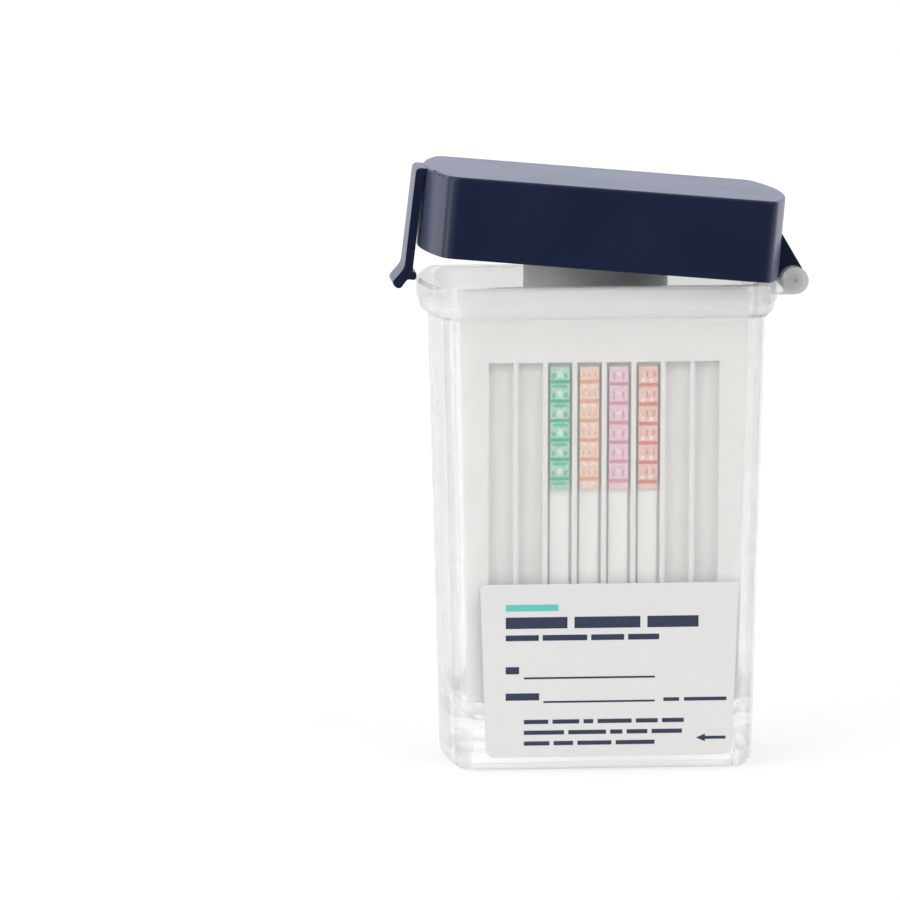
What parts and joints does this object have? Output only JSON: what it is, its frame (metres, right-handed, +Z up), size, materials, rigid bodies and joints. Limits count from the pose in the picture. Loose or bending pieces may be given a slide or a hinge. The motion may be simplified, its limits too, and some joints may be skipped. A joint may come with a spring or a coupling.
{
  "type": "lidded multi-strip oral fluid test cup",
  "caption": "Clear drafted cup with a hinged navy lid, a latch strap, a port for a collector and a carrier of lateral flow strips behind its labelled front wall.",
  "frame": {"origin": "underside of the base, under the middle of the cup", "axes": "+Z up, +X to the hinge, -Y the front wall with the strips and the label"},
  "size_m": [0.0676, 0.0364, 0.0985],
  "materials": {
    "clear_styrene": "clear moulded, polished",
    "navy_plastic": "satin moulded",
    "pale_plastic": "satin moulded",
    "milky_plastic": "satin moulded",
    "translucent_plastic": "frosted moulded",
    "label_paper": "coated peel label",
    "backing_card": "smooth white",
    "membrane": "matt porous",
    "glass_fibre_pad": "matt fibrous",
    "cellulose_pad": "matt fibrous",
    "tape_green": "printed film",
    "tape_peach": "printed film",
    "tape_pink": "printed film",
    "tape_salmon": "printed film"
  },
  "bodies": {
    "cup": {"cup": "clear_styrene", "hinge_pin": "pale_plastic", "strip_carrier": "milky_plastic", "collector_port": "translucent_plastic", "front_label": "label_paper", "strip_1_backing_card": "backing_card", "strip_1_membrane": "membrane", "strip_1_conjugate_pad": "glass_fibre_pad", "strip_1_sample_pad": "cellulose_pad", "strip_1_absorbent_pad": "cellulose_pad", "strip_1_cover_tape": "tape_green", "strip_2_backing_card": "backing_card", "strip_2_membrane": "membrane", "strip_2_conjugate_pad": "glass_fibre_pad", "strip_2_sample_pad": "cellulose_pad", "strip_2_absorbent_pad": "cellulose_pad", "strip_2_cover_tape": "tape_peach", "strip_3_backing_card": "backing_card", "strip_3_membrane": "membrane", "strip_3_conjugate_pad": "glass_fibre_pad", "strip_3_sample_pad": "cellulose_pad", "strip_3_absorbent_pad": "cellulose_pad", "strip_3_cover_tape": "tape_pink", "strip_4_backing_card": "backing_card", "strip_4_membrane": "membrane", "strip_4_conjugate_pad": "glass_fibre_pad", "strip_4_sample_pad": "cellulose_pad", "strip_4_absorbent_pad": "cellulose_pad", "strip_4_cover_tape": "tape_salmon"},
    "lid": {"lid": "navy_plastic"}
  },
  "joints": [
    {"name": "lid_hinge", "type": "hinge", "parent": "cup", "child": "lid", "pos_m": [0.0316, 0, 0.08], "axis": [0, 1, 0], "range_deg": [-4.9, 190]}
  ]
}
